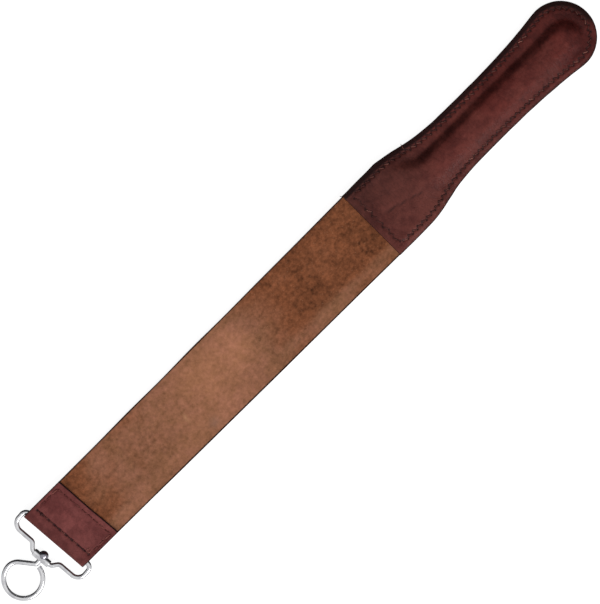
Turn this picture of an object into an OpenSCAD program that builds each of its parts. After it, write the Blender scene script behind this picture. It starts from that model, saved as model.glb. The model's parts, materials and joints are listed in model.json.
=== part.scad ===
// Hanging razor strop: two leather straps joined at both ends, a padded and
// stitched handle, and a swivelling wire hook on a bail in a folded end tab.
//
// The strop lies flat. +X points to the handle, +Z is up, Z = 0 is the surface
// it lies on. The origin is on the underside of the straps, midway between the
// end tab and the handle.

/* [Straps] */
// Length of strap that shows between the end tab and the handle
strap_free = 260; // [240:1:280]
// Width of the straps at the end tab
strap_w_tab = 50.8; // [49:0.1:53]
// Width of the straps at the handle
strap_w_handle = 53.6; // [52:0.1:54]
// Thickness of each strap
strap_t = 2.6; // [2.4:0.1:2.8]

/* [End tab] */
// Length of the folded tab, from fold to cut edge
tab_len = 33.1; // [30:0.1:38]
// Thickness of the tab's leather
tab_t = 1.6; // [1.5:0.1:1.8]
// Angle by which the fold is out of square with the straps
tab_skew = 4.6; // [0:0.1:5]
// Distance from the fold to the seam that closes the tunnel
tunnel_seam_u = 9.7; // [8.5:0.1:10]
// Distance from the fold to the seam near the tab's cut edge
upper_seam_u = 29; // [27:0.1:29.4]

/* [Bail] */
// Diameter of the bail's wire
bail_d = 3.2; // [3:0.1:3.3]
// Distance between the centres of the bail's two side wires
bail_w = 57; // [57:0.1:60]
// Distance from the tunnel to the bail's far wires
bail_reach = 12.7; // [12:0.1:16]
// Distance that the bail has slid sideways in the tunnel
bail_slide = -0.7; // [-0.7:0.1:0.7]
// Radius of the bail's corners at the tunnel
bail_near_r = 3.8; // [3.4:0.1:4]
// Radius of the bail's far corners
bail_far_r = 6.2; // [5:0.1:7]

/* [Swivel] */
// Diameter of the shank that turns in the bail's eye
shank_d = 2.8; // [2.6:0.1:2.9]
// Gap between the shank and the eye, on the radius
shank_gap = 0.08; // [0.04:0.01:0.1]
// Diameter of the ball on the end of the shank
ball_d = 6.6; // [6.2:0.1:6.8]

/* [Ring hook] */
// Diameter of the hook's wire
hook_d = 3.3; // [3:0.1:3.4]
// Radius of the ring, to the centre of the wire
ring_r = 12.9; // [12:0.1:16]

/* [Handle] */
// Length of the handle
handle_len = 198.4; // [195:0.1:210]
// Thickness of each handle cover's leather
cover_t = 1.6; // [1.4:0.1:1.8]
// Half thickness of the padded core
core_h = 4.2; // [3.8:0.1:4.6]
// Half width of the padded core
core_half_w = 10; // [9:0.1:10.2]
// Sideways offset of the core from the handle's middle
core_offset = -2.3; // [-2.4:0.1:2.4]
// Depth of strap that is sewn into the handle
tongue = 24; // [20:1:26]

/* [Stitching] */
// Diameter of the thread
thread_d = 0.9; // [0.6:0.1:1]
// Distance from one stitch to the next along the handle's edge
edge_pitch = 4.2; // [3.5:0.1:6]
// Distance from one stitch to the next in the straight rows
row_pitch = 5; // [4:0.1:7]

/* [Hidden] */
$fn = 48;

suede_colour = [0.50, 0.34, 0.25];
strap_colour = [0.30, 0.15, 0.12];
tab_colour = [0.38, 0.20, 0.19];
handle_colour = [0.29, 0.13, 0.13];
thread_colour = [0.17, 0.10, 0.10];
wire_colour = [0.80, 0.81, 0.83];
core_colour = [0.72, 0.66, 0.56];

// Heights
tunnel_r = strap_t;
fold_r = tunnel_r + tab_t;
handle_mid = core_h + cover_t;

// Places along X
tab_edge_x = -strap_free / 2;
mouth_x = strap_free / 2;
tunnel_x = tab_edge_x - (tab_len - fold_r) / cos(tab_skew);
tongue_x = mouth_x + tongue;
handle_end_x = mouth_x + handle_len;

// How the straps rise over the tab's lower leaf and up into the handle
tab_rise = [tab_edge_x + 4, tab_edge_x + 40];
handle_rise = [mouth_x - 42, mouth_x - 2];
rise_steps = 10;

// Handle outline: [distance from the mouth, half width, slope] at each knot
bulb_r = 23.8;
bulb_s = handle_len - bulb_r;
bulb_start = 98;
handle_knots = [
    [0, 27.1, 0],
    [30, 26.9, -0.03],
    [62, 21.2, -0.12],
    [97, 19.7, 0],
    [bulb_s + bulb_r * cos(bulb_start), bulb_r * sin(bulb_start), 0.14]
];
outline_steps = 8;
arc_steps = 24;

// Where the covers come down from the tongue to meet each other
ramp = [tongue_x + 3, tongue_x + 24];

// Swivel, measured from the tunnel's axis towards the ring
boss = [4.2, 13, 5.8];
boss_x = bail_reach + 4.5;
boss_round = 6.9;
ball_x = boss_x - boss[0] / 2 + 0.1;
ball_gap = 0.12;
shoulder_x = boss_x + boss[0] / 2 + 0.15;

// Ring hook's bends, in the order they are made
neck_len = 1.75;
neck_bend = [2.5, 56];
rising_len = 9.9;
upper_bend = [ring_r * 2 / 3, 61];
ring_turn = 253;

// How far the ring's centre line reaches from the tunnel's axis
upper_centre_x = shoulder_x + neck_len + neck_bend[0] * sin(neck_bend[1])
    + rising_len * cos(neck_bend[1]) + upper_bend[0] * sin(neck_bend[1]);
join_angle = upper_bend[1] - neck_bend[1];
ring_centre_x = upper_centre_x - (ring_r - upper_bend[0]) * sin(join_angle);
hook_reach = ring_centre_x + ring_r;

// The bail hangs down until the ring meets the surface
droop = asin((fold_r - hook_d / 2) / hook_reach);

// Seams
seam_inset = 5;
mouth_seam_s = 5.5;
groove_w = 1.2;
groove_t = 0.5;
tab_side_inset = 2.8;

function smooth(t) = t * t * (3 - 2 * t);

function share(x, span) = max(0, min(1, (x - span[0]) / (span[1] - span[0])));

// Height of the straps' underside
function strap_z(x) =
    tab_t * (1 - smooth(share(x, tab_rise)))
    + (handle_mid - strap_t) * smooth(share(x, handle_rise));

function strap_half(x) =
    let (t = (x - tab_edge_x) / strap_free)
    (strap_w_tab + (strap_w_handle - strap_w_tab) * max(0, min(1, t))) / 2;

// Points on a smooth curve from knot a to knot b
function curve_points(a, b) = [
    for (i = [0 : outline_steps - 1])
        let (
            t = i / outline_steps,
            d = b[0] - a[0],
            h = a[1] * (1 + 2 * t) * (1 - t) * (1 - t)
                + b[1] * t * t * (3 - 2 * t)
                + d * a[2] * t * (1 - t) * (1 - t)
                + d * b[2] * t * t * (t - 1)
        )
        [a[0] + d * t, h]
];

// Upper half of the handle's outline, pulled in by a distance
function half_outline(inset) = [
    for (k = [0 : len(handle_knots) - 2])
        for (p = curve_points(handle_knots[k], handle_knots[k + 1]))
            [p[0], p[1] - inset],
    for (i = [0 : arc_steps])
        let (a = bulb_start * (1 - i / arc_steps))
        [bulb_s + (bulb_r - inset) * cos(a), (bulb_r - inset) * sin(a)]
];

function mirrored(points) = [
    for (i = [len(points) - 2 : -1 : 0]) [points[i][0], -points[i][1]]
];

function whole_outline(inset) = concat(half_outline(inset), mirrored(half_outline(inset)));

// Length of a line through points, up to point n
function run(points, n) = n == 0 ? 0 : run(points, n - 1) + norm(points[n] - points[n - 1]);

// Point and heading at distance s along the line
function along(points, lengths, s) =
    let (
        k = max([for (i = [0 : len(lengths) - 2]) if (lengths[i] <= s) i]),
        d = points[k + 1] - points[k],
        t = (s - lengths[k]) / (lengths[k + 1] - lengths[k])
    )
    [points[k] + d * t, atan2(d[1], d[0])];

module in_tab_frame() {
    translate([tunnel_x, 0, fold_r])
        rotate([0, 0, tab_skew])
            children();
}

module in_bail_frame() {
    in_tab_frame()
        translate([0, bail_slide, 0])
            rotate([0, -droop, 0])
                children();
}

// A solid with a side view, as wide as the strop
module side_solid(points) {
    rotate([90, 0, 0])
        linear_extrude(height = 80, center = true)
            polygon(points);
}

// Side view of one strap, whose underside is a distance above the stack's
module strap_solid(lift) {
    inner_u = tunnel_seam_u + 1.2;
    start_x = tunnel_x - fold_r + 4;
    xs = concat(
        [start_x],
        [for (i = [0 : rise_steps]) tab_rise[0] + (tab_rise[1] - tab_rise[0]) * i / rise_steps],
        [for (i = [0 : rise_steps])
            handle_rise[0] + (handle_rise[1] - handle_rise[0]) * i / rise_steps],
        [tongue_x]
    );
    under = [for (x = xs) [x, strap_z(x) + lift]];
    over = [for (i = [len(xs) - 1 : -1 : 0]) [xs[i], strap_z(xs[i]) + lift + strap_t]];
    intersection() {
        side_solid(concat(under, over));
        strap_plan(30);
        in_tab_frame()
            translate([inner_u - fold_r, -100, -20])
                cube([strap_free + 120, 200, 60]);
    }
}

// Plan of the straps and the tab, as a tall block
module strap_plan(height) {
    far_x = tunnel_x - 10;
    linear_extrude(height = height)
        polygon([
            [far_x, -strap_half(tab_edge_x)],
            [tab_edge_x, -strap_half(tab_edge_x)],
            [mouth_x, -strap_half(mouth_x)],
            [tongue_x, -strap_half(mouth_x)],
            [tongue_x, strap_half(mouth_x)],
            [mouth_x, strap_half(mouth_x)],
            [tab_edge_x, strap_half(tab_edge_x)],
            [far_x, strap_half(tab_edge_x)]
        ]);
}

module suede_strap() {
    color(suede_colour) strap_solid(strap_t);
}

module leather_strap() {
    color(strap_colour) strap_solid(0);
}

// One stitch lying along X on the plane Z = 0
module stitch(length) {
    rotate([0, 90, 0])
        rotate([0, 0, 90])
            translate([0, 0, -length / 2])
                rotate_extrude(angle = 180)
                    square([thread_d / 2, length]);
}

// A row of stitches from one point to another on the plane Z = 0
module stitch_row(from, to, pitch) {
    d = to - from;
    count = floor(norm(d) / pitch);
    step = d / count;
    for (i = [0 : count - 1])
        translate(concat(from + step * (i + 0.5), 0))
            rotate([0, 0, atan2(d[1], d[0])])
                stitch(norm(step) * 0.76);
}

// Ends of the tab's seams in the tab's own frame: a line across at u, clear
// of the two sides
function seam_end(u, side) =
    let (
        x = u - fold_r,
        reach = strap_w_tab / 2 - tab_side_inset
    )
    [x, side * reach / cos(tab_skew) - x * tan(tab_skew)];

module tab_groove(from, to) {
    d = to - from;
    translate(concat(from, 0))
        rotate([0, 0, atan2(d[1], d[0])])
            translate([-groove_w / 2, -groove_w / 2, -groove_t])
                cube([norm(d) + groove_w, groove_w, groove_t + 1]);
}

module tunnel_seam_groove() {
    tab_groove(seam_end(tunnel_seam_u, -1), seam_end(tunnel_seam_u, 1));
}

module tab_seam_grooves() {
    side_u = tunnel_seam_u + 3;
    tab_groove(seam_end(upper_seam_u, -1), seam_end(upper_seam_u, 1));
    for (side = [-1, 1])
        tab_groove(seam_end(side_u, side), seam_end(upper_seam_u, side));
}

// Puts a thing that is made for the tab's upper face on that face or below it
module on_tab_face(front) {
    in_tab_frame()
        mirror([0, 0, front ? 0 : 1])
            translate([0, 0, fold_r])
                children();
}

module end_tab() {
    color(tab_colour)
        intersection() {
            difference() {
                in_tab_frame() {
                    difference() {
                        union() {
                            rotate([90, 0, 0])
                                cylinder(r = fold_r, h = 80, center = true);
                            translate([0, -40, -fold_r])
                                cube([tab_len - fold_r, 80, 2 * fold_r]);
                        }
                        rotate([90, 0, 0])
                            cylinder(r = tunnel_r, h = 90, center = true);
                        translate([0, -45, -tunnel_r])
                            cube([tab_len, 90, 2 * tunnel_r]);
                    }
                }
                for (front = [true, false])
                    on_tab_face(front) {
                        tunnel_seam_groove();
                        tab_seam_grooves();
                    }
            }
            translate([0, 0, -1]) strap_plan(30);
        }
}

module tunnel_seam(front) {
    color(thread_colour)
        on_tab_face(front)
            translate([0, 0, -groove_t])
                stitch_row(seam_end(tunnel_seam_u, -1), seam_end(tunnel_seam_u, 1), row_pitch);
}

module tab_seam(front) {
    side_u = tunnel_seam_u + 3;
    color(thread_colour)
        on_tab_face(front)
            translate([0, 0, -groove_t]) {
                stitch_row(seam_end(upper_seam_u, -1), seam_end(upper_seam_u, 1), row_pitch);
                for (side = [-1, 1])
                    stitch_row(seam_end(side_u, side), seam_end(upper_seam_u, side), row_pitch);
            }
}

// Wire bent in the plane Z = 0, starting at the origin and heading along +X.
// Each step is [0, length] for a straight or [radius, angle] for a bend, and
// a positive angle turns left.
module bent_wire(r, steps, i = 0) {
    if (i < len(steps)) {
        bend_r = steps[i][0];
        if (bend_r == 0) {
            rotate([0, 90, 0]) cylinder(r = r, h = steps[i][1]);
            translate([steps[i][1], 0, 0]) bent_wire(r, steps, i + 1);
        } else {
            angle = steps[i][1];
            side = sign(angle);
            first = side > 0 ? -90 : 90 - abs(angle);
            translate([0, side * bend_r, 0]) {
                rotate([0, 0, first])
                    rotate_extrude(angle = abs(angle))
                        translate([bend_r, 0])
                            circle(r = r);
                rotate([0, 0, angle])
                    translate([0, -side * bend_r, 0])
                        bent_wire(r, steps, i + 1);
            }
        }
    }
}

// Half of the bail, from the butt joint in the tunnel to the eye
module bail_half() {
    butt_gap = 0.3;
    turn_v = 13;
    jog_r = 3;
    jog_angle = 50;
    jog_len = (boss_x - bail_reach - 2 * jog_r * (1 - cos(jog_angle))) / sin(jog_angle);
    jog_v = 2 * jog_r * sin(jog_angle) + jog_len * cos(jog_angle);
    translate([0, butt_gap, 0])
        rotate([0, 0, 90])
            bent_wire(bail_d / 2, [
                [0, bail_w / 2 - bail_near_r - butt_gap],
                [bail_near_r, 90],
                [0, bail_reach - bail_near_r - bail_far_r],
                [bail_far_r, 90],
                [0, bail_w / 2 - bail_far_r - turn_v],
                [jog_r, -jog_angle],
                [0, jog_len],
                [jog_r, jog_angle],
                [0, turn_v - jog_v - 3]
            ]);
}

module bail() {
    color(wire_colour)
        in_bail_frame()
            difference() {
                union() {
                    bail_half();
                    mirror([0, 1, 0]) bail_half();
                    translate([-boss_x, 0, 0])
                        intersection() {
                            cube(boss, center = true);
                            rotate([90, 0, 0]) cylinder(d = boss[2], h = 20, center = true);
                            sphere(r = boss_round);
                        }
                }
                translate([-ball_x, 0, 0]) sphere(d = ball_d + 2 * ball_gap);
                translate([-boss_x - 5, 0, 0])
                    rotate([0, 90, 0])
                        cylinder(r = shank_d / 2 + shank_gap, h = 10);
            }
}

module ring_hook() {
    color(wire_colour)
        in_bail_frame()
            rotate([0, 0, 180]) {
                translate([ball_x, 0, 0])
                    rotate([0, 90, 0])
                        cylinder(d = shank_d, h = shoulder_x - ball_x + neck_len / 2);
                translate([shoulder_x, 0, 0])
                    bent_wire(hook_d / 2, [
                        [0, neck_len],
                        [neck_bend[0], -neck_bend[1]],
                        [0, rising_len],
                        upper_bend,
                        [ring_r, ring_turn]
                    ]);
            }
}

module swivel_ball() {
    color(wire_colour)
        in_bail_frame()
            difference() {
                translate([-ball_x, 0, 0]) sphere(d = ball_d, $fn = 96);
                translate([-ball_x - ball_d, 0, 0])
                    rotate([0, 90, 0])
                        cylinder(d = shank_d, h = ball_d);
            }
}

// Plan of the handle as a tall block, centred on its middle plane
module handle_plan() {
    translate([mouth_x, 0, 0])
        linear_extrude(height = 40, center = true)
            polygon(whole_outline(0));
}

// Half of a cushion with round edges and round ends, flat on the plane Z = 0
module cushion(half_w, h, first_x, last_x) {
    module edge_profile() {
        square([half_w - h, h]);
        translate([half_w - h, 0])
            intersection() {
                circle(r = h);
                square(h);
            }
    }
    translate([first_x, 0, 0])
        rotate([90, 0, 90])
            linear_extrude(height = last_x - first_x) {
                edge_profile();
                mirror([1, 0]) edge_profile();
            }
    translate([first_x, 0, 0])
        rotate([0, 0, 90])
            rotate_extrude(angle = 180)
                edge_profile();
    translate([last_x, 0, 0])
        rotate([0, 0, -90])
            rotate_extrude(angle = 180)
                edge_profile();
}

// Upper half of the core's cushion, or the cover's bulge around it
module core_cushion(grow) {
    first_x = tongue_x + core_half_w + cover_t;
    last_x = handle_end_x - 10.6 - core_half_w - cover_t;
    translate([0, core_offset, 0])
        cushion(core_half_w + grow, core_h + grow, first_x, last_x);
}

// Upper half of the wedge that fills the gap behind the straps' ends
module core_wedge() {
    intersection() {
        side_solid([
            [tongue_x, 0],
            [ramp[1], 0],
            [ramp[0], strap_t],
            [tongue_x, strap_t]
        ]);
        handle_plan();
    }
}

// Upper cover, above the handle's middle plane
module cover_half() {
    difference() {
        union() {
            intersection() {
                side_solid([
                    [mouth_x, strap_t],
                    [ramp[0], strap_t],
                    [ramp[1], 0],
                    [handle_end_x + 1, 0],
                    [handle_end_x + 1, cover_t],
                    [ramp[1], cover_t],
                    [ramp[0], strap_t + cover_t],
                    [mouth_x, strap_t + cover_t]
                ]);
                handle_plan();
            }
            core_cushion(cover_t);
        }
        core_cushion(0);
        core_wedge();
    }
}

module handle_front_cover() {
    color(handle_colour)
        translate([0, 0, handle_mid])
            cover_half();
}

module handle_back_cover() {
    color(handle_colour)
        translate([0, 0, handle_mid])
            mirror([0, 0, 1])
                cover_half();
}

module handle_core() {
    color(core_colour)
        translate([0, 0, handle_mid])
            for (side = [0, 1])
                mirror([0, 0, side]) {
                    core_cushion(0);
                    core_wedge();
                }
}

// Height of a cover's outer face at the handle's edge, above the middle plane
function flange_z(x) = cover_t + strap_t * (1 - share(x, ramp));

module edge_seam(front) {
    top = [for (p = half_outline(seam_inset)) if (p[0] > mouth_seam_s) p];
    points = concat(top, mirrored(top));
    lengths = [for (i = [0 : len(points) - 1]) run(points, i)];
    total = lengths[len(lengths) - 1];
    count = floor(total / edge_pitch);
    step = total / count;
    reach = step * 0.37;
    color(thread_colour)
        translate([0, 0, handle_mid])
            mirror([0, 0, front ? 0 : 1])
                for (i = [0 : count - 1]) {
                    place = along(points, lengths, (i + 0.5) * step);
                    x = mouth_x + place[0][0];
                    near_z = flange_z(x - reach);
                    far_z = flange_z(x + reach);
                    z = max(flange_z(x), (near_z + far_z) / 2);
                    translate([x, place[0][1], z])
                        rotate([0, atan((near_z - far_z) / (2 * reach)), 0])
                            rotate([0, 0, place[1]])
                                stitch(2 * reach);
                }
}

module mouth_seam(front) {
    half = handle_knots[0][1] - seam_inset - 1;
    color(thread_colour)
        translate([mouth_x + mouth_seam_s, 0, handle_mid])
            mirror([0, 0, front ? 0 : 1])
                translate([0, 0, strap_t + cover_t])
                    stitch_row([0, -half], [0, half], row_pitch);
}

suede_strap();
leather_strap();
end_tab();
tunnel_seam(true);  // tunnel_seam_front_thread
tunnel_seam(false);  // tunnel_seam_back_thread
tab_seam(true);  // tab_seam_front_thread
tab_seam(false);  // tab_seam_back_thread
bail();
ring_hook();
swivel_ball();
handle_front_cover();
handle_back_cover();
handle_core();
edge_seam(true);  // edge_seam_front_thread
edge_seam(false);  // edge_seam_back_thread
mouth_seam(true);  // mouth_seam_front_thread
mouth_seam(false);  // mouth_seam_back_thread
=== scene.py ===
"""Looks for a hanging razor strop: suede over leather, a folded end tab on a
wire bail, and a padded stitched handle."""

import json
import math

import bpy
import numpy as np
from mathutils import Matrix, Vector
from mathutils.bvhtree import BVHTree


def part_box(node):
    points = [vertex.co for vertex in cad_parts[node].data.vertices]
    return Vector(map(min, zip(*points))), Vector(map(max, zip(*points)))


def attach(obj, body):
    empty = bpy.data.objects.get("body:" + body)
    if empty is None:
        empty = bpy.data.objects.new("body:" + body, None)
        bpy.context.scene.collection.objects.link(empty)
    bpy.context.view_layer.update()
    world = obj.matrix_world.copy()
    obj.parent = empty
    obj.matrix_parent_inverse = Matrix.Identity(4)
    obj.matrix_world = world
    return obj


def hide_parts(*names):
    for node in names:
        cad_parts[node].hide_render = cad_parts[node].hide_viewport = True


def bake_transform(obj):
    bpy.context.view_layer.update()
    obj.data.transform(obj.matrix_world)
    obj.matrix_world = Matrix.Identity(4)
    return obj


MM = 0.001
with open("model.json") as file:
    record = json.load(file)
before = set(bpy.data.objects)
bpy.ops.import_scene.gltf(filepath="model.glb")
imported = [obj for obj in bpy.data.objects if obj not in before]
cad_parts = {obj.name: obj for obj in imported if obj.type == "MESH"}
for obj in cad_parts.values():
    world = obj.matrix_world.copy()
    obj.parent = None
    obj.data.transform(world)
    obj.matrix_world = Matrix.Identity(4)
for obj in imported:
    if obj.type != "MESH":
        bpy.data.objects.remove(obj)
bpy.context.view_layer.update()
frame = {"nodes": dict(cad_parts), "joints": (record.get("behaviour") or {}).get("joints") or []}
scene = bpy.context.scene

# ---- camera

PHOTO_TURN = math.radians(-44.84)  # the strop lies across the picture, handle at the upper right
PHOTO_FIELD = 0.3962  # metres of floor from the picture's top to its bottom
LENS, SENSOR = 120.0, 36.0

camera_data = bpy.data.cameras.new("photo_camera")
camera_data.lens, camera_data.sensor_width = LENS, SENSOR
camera = bpy.data.objects.new("photo_camera", camera_data)
camera.location = (0.06195, -0.00255, PHOTO_FIELD * LENS / SENSOR)
camera.rotation_euler = (0, 0, PHOTO_TURN)
scene.collection.objects.link(camera)
scene.camera = camera
scene.view_settings.view_transform = "Standard"

# ---- places read off the frame

FAR = 0.2  # a height or distance well outside the part
DOWN, UP = Vector((0, 0, -1)), Vector((0, 0, 1))


def mesh_tree(mesh):
    points = [v.co.copy() for v in mesh.vertices]
    return BVHTree.FromPolygons(points, [list(p.vertices) for p in mesh.polygons])


TREES = {node: mesh_tree(shown.data) for node, shown in frame["nodes"].items()}


def face_z(tree, x, y, above=True):
    """Height of the upper or lower face at a place, or None where there is none."""
    hit = tree.ray_cast(Vector((x, y, FAR if above else -FAR)), DOWN if above else UP)[0]
    return None if hit is None else hit.z


def edge_y(tree, x, heights):
    """How far the part reaches along +Y at x, the furthest over some heights."""
    hits = [tree.ray_cast(Vector((x, FAR, z)), Vector((0, -1, 0)))[0] for z in heights]
    return max(hit.y for hit in hits if hit is not None)


COVER_LOW, COVER_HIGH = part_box("handle_front_cover")
MOUTH_X, TIP_X, MID_Z = COVER_LOW.x, COVER_HIGH.x, COVER_LOW.z
TONGUE_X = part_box("suede_strap")[1].x
STRAP_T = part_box("suede_strap")[0].z
in_cover_x = MOUTH_X + 4 * MM
COVER_T = (
    face_z(TREES["handle_front_cover"], in_cover_x, 0)
    - face_z(TREES["handle_front_cover"], in_cover_x, 0, above=False)
)

bail_swing = next(j for j in frame["joints"] if j["name"] == "bail_swing")
TUNNEL = Vector(bail_swing["pos_m"])
SKEW = math.atan2(-bail_swing["axis"][0], bail_swing["axis"][1])
FOLD_R = TUNNEL.z
in_tab_x = TUNNEL.x + 14 * MM
TAB_T = face_z(TREES["end_tab"], in_tab_x, 0) - face_z(TREES["suede_strap"], in_tab_x, 0)
TAB_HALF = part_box("end_tab")[1].y
upper_leaf = Vector((0, 0, 2 * FOLD_R - TAB_T / 2))
TAB_EDGE_X = TREES["end_tab"].ray_cast(upper_leaf, Vector((-1, 0, 0)))[0].x
CUT_U = (TAB_EDGE_X - TUNNEL.x) * math.cos(SKEW)


def tab_x(u, y):
    """X of a point of the tab that is u along it from the tunnel, at some Y."""
    return TUNNEL.x + u / math.cos(SKEW) - y * math.tan(SKEW)


# ---- small helpers


def smooth(t):
    t = np.clip(t, 0, 1)
    return t * t * (3 - 2 * t)


def hill(distance, width):
    return np.exp(-((distance / width) ** 2))


def noise(x, y, size, seed):
    """Smooth noise from -1 to 1 over a plane, with features of about that size."""
    grid = np.random.default_rng(seed).uniform(-1, 1, (64, 64))
    u, v = np.asarray(x) / size + 21.3, np.asarray(y) / size + 17.7
    iu, iv = np.floor(u).astype(int), np.floor(v).astype(int)
    fu, fv = smooth(u - iu), smooth(v - iv)
    a, b, c, d = iu % 64, (iu + 1) % 64, iv % 64, (iv + 1) % 64
    low = grid[a, c] * (1 - fu) + grid[b, c] * fu
    high = grid[a, d] * (1 - fu) + grid[b, d] * fu
    return low * (1 - fv) + high * fv


def to_line(x, y, start, end):
    """Distance from points to a straight line between two places, in mm like its input."""
    (ax, ay), (bx, by) = start, end
    dx, dy = bx - ax, by - ay
    t = np.clip(((x - ax) * dx + (y - ay) * dy) / (dx * dx + dy * dy), 0, 1)
    return np.hypot(x - ax - t * dx, y - ay - t * dy)


def averaged(values, reach):
    """A running mean that keeps both ends."""
    padded = np.pad(values, reach, mode="edge")
    kernel = np.ones(2 * reach + 1) / (2 * reach + 1)
    return np.convolve(padded, kernel, mode="valid")


def new_piece(name, points, faces, material, body=None, slot=None, replaced=(), **attributes):
    """A mesh piece with a number for each point in each named attribute."""
    mesh = bpy.data.meshes.new(name)
    mesh.from_pydata([tuple(p) for p in np.asarray(points, float)], [], [tuple(f) for f in faces])
    for key, values in attributes.items():
        layer = mesh.attributes.new(key, "FLOAT", "POINT")
        layer.data.foreach_set("value", np.asarray(values, np.float32))
    mesh.polygons.foreach_set("use_smooth", [True] * len(mesh.polygons))
    mesh.materials.append(material)
    piece = bpy.data.objects.new(name, mesh)
    scene.collection.objects.link(piece)
    if body:
        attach(piece, body)
    if replaced:
        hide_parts(*replaced)
    return piece


def shell(outer, inner, faces):
    """Points and faces of a closed wall between two surfaces that share one set of faces."""
    count = len(outer)
    sides = {(a, b) for f in faces for a, b in zip(f, (*f[1:], f[0]))}
    rims = [(a, b) for a, b in sides if (b, a) not in sides]
    walls = [(b, a, a + count, b + count) for a, b in sorted(rims)]
    back = [tuple(i + count for i in reversed(f)) for f in faces]
    return np.vstack([outer, inner]), [*faces, *back, *walls]


def grid_faces(rows, columns):
    return [
        (i * columns + j, (i + 1) * columns + j, (i + 1) * columns + j + 1, i * columns + j + 1)
        for i in range(rows - 1)
        for j in range(columns - 1)
    ]


def both_sides(**values):
    """Numbers for the outer points of a shell, repeated for the inner ones."""
    return {key: np.tile(value.ravel(), 2) for key, value in values.items()}


def flipped(faces):
    return [tuple(reversed(face)) for face in faces]


def tube_faces(rings, points):
    """Faces between rings of points that follow each other, and over both ends."""
    last = (rings - 1) * points
    faces = [tuple(range(points)), tuple(reversed(range(last, last + points)))]
    for base in range(0, last, points):
        for j in range(points):
            k = (j + 1) % points
            faces.append((base + j, base + points + j, base + points + k, base + k))
    return faces


def edge_round(inset, radius):
    """How far a rounded edge has dropped, at a distance in from the edge."""
    short = np.clip(radius - inset, 0, radius)
    return radius - np.sqrt(radius**2 - short**2)


# ---- materials


def srgb(red, green, blue):
    """Linear colour with alpha from 0-255 screen values."""
    return (*[((c / 255 + 0.055) / 1.055) ** 2.4 for c in (red, green, blue)], 1)


def shaded(colour, factor):
    """A plain colour made lighter or darker."""
    return (*[c * factor for c in colour[:3]], 1)


class Finish:
    """A material's nodes. Values that are the same all over go on the shader's own sockets."""

    def __init__(self, name, **values):
        self.material = bpy.data.materials.new(name)
        self.material.use_nodes = True
        self.nodes, self.links = self.material.node_tree.nodes, self.material.node_tree.links
        self.surface = self.nodes["Principled BSDF"]
        for key, value in values.items():
            self.surface.inputs[key.replace("_", " ")].default_value = value
        self.place = self.nodes.new("ShaderNodeTexCoord").outputs["Object"]

    def put(self, socket, value):
        if isinstance(value, bpy.types.NodeSocket):
            self.links.new(value, socket)
        else:
            socket.default_value = value

    def texture(self, kind, size, seed, stretch, turn=0.0):
        """A texture with features of about that size."""
        spot = self.nodes.new("ShaderNodeMapping")
        self.links.new(self.place, spot.inputs["Vector"])
        spot.inputs["Location"].default_value = (seed * 1.37, seed * 0.71, seed * 2.13)
        spot.inputs["Rotation"].default_value = (0, 0, turn)
        spot.inputs["Scale"].default_value = stretch
        node = self.nodes.new(kind)
        self.links.new(spot.outputs["Vector"], node.inputs["Vector"])
        node.inputs["Scale"].default_value = 1 / size
        return node

    def grain(self, size, detail, seed, stretch=(1, 1, 1), turn=0.0, rough=0.55):
        """Cloudy noise from 0 to 1."""
        node = self.texture("ShaderNodeTexNoise", size, seed, stretch, turn)
        node.inputs["Detail"].default_value = detail
        node.inputs["Roughness"].default_value = rough
        return node.outputs["Fac"]

    def cells(self, size, seed, stretch=(1, 1, 1), feature="F1"):
        """Distances in a pattern of cells."""
        node = self.texture("ShaderNodeTexVoronoi", size, seed, stretch)
        node.feature = feature
        return node.outputs["Distance"]

    def carried(self, name):
        """A number that the mesh carries for each point."""
        node = self.nodes.new("ShaderNodeAttribute")
        node.attribute_name = name
        return node.outputs["Fac"]

    def worked(self, kind, operation, *values):
        """The result of a sum on numbers or vectors."""
        node = self.nodes.new(kind)
        node.operation = operation
        for socket, value in values:
            self.put(node.inputs[socket], value)
        return node.outputs[0]

    def sum(self, *terms):
        """Sum of values, some of them as (value, factor) pairs."""
        total = 0.0
        for term in terms:
            value, factor = term if isinstance(term, tuple) else (term, 1.0)
            total = self.worked("ShaderNodeMath", "MULTIPLY_ADD", (0, value), (1, factor), (2, total))
        return total

    def times(self, a, b):
        return self.worked("ShaderNodeMath", "MULTIPLY", (0, a), (1, b))

    def range(self, value, low, high, to_low=0.0, to_high=1.0):
        """A smooth step from one number to another as value goes from low to high."""
        node = self.nodes.new("ShaderNodeMapRange")
        node.interpolation_type = "SMOOTHSTEP"
        self.put(node.inputs["Value"], value)
        for socket, number in enumerate((low, high, to_low, to_high), 1):
            node.inputs[socket].default_value = number
        return node.outputs["Result"]

    def mix(self, share, first, second, kind="MIX"):
        node = self.nodes.new("ShaderNodeMix")
        node.data_type, node.blend_type, node.clamp_factor = "RGBA", kind, True
        self.put(node.inputs[0], share)
        self.put(node.inputs[6], first)
        self.put(node.inputs[7], second)
        return node.outputs[2]

    def scaled(self, colour, factor):
        """A colour made lighter or darker by a number."""
        return self.worked("ShaderNodeVectorMath", "SCALE", (0, colour), ("Scale", factor))

    def bumps(self, *layers):
        """Stacks (height, depth in metres) layers into one normal."""
        normal = None
        for height, depth in layers:
            node = self.nodes.new("ShaderNodeBump")
            node.inputs["Strength"].default_value = 1.0
            node.inputs["Distance"].default_value = depth
            self.links.new(height, node.inputs["Height"])
            if normal is not None:
                self.links.new(normal, node.inputs["Normal"])
            normal = node.outputs["Normal"]
        self.links.new(normal, self.surface.inputs["Normal"])

    def done(self, colour, roughness):
        self.put(self.surface.inputs["Base Color"], colour)
        self.put(self.surface.inputs["Roughness"], roughness)
        return self.material


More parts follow.
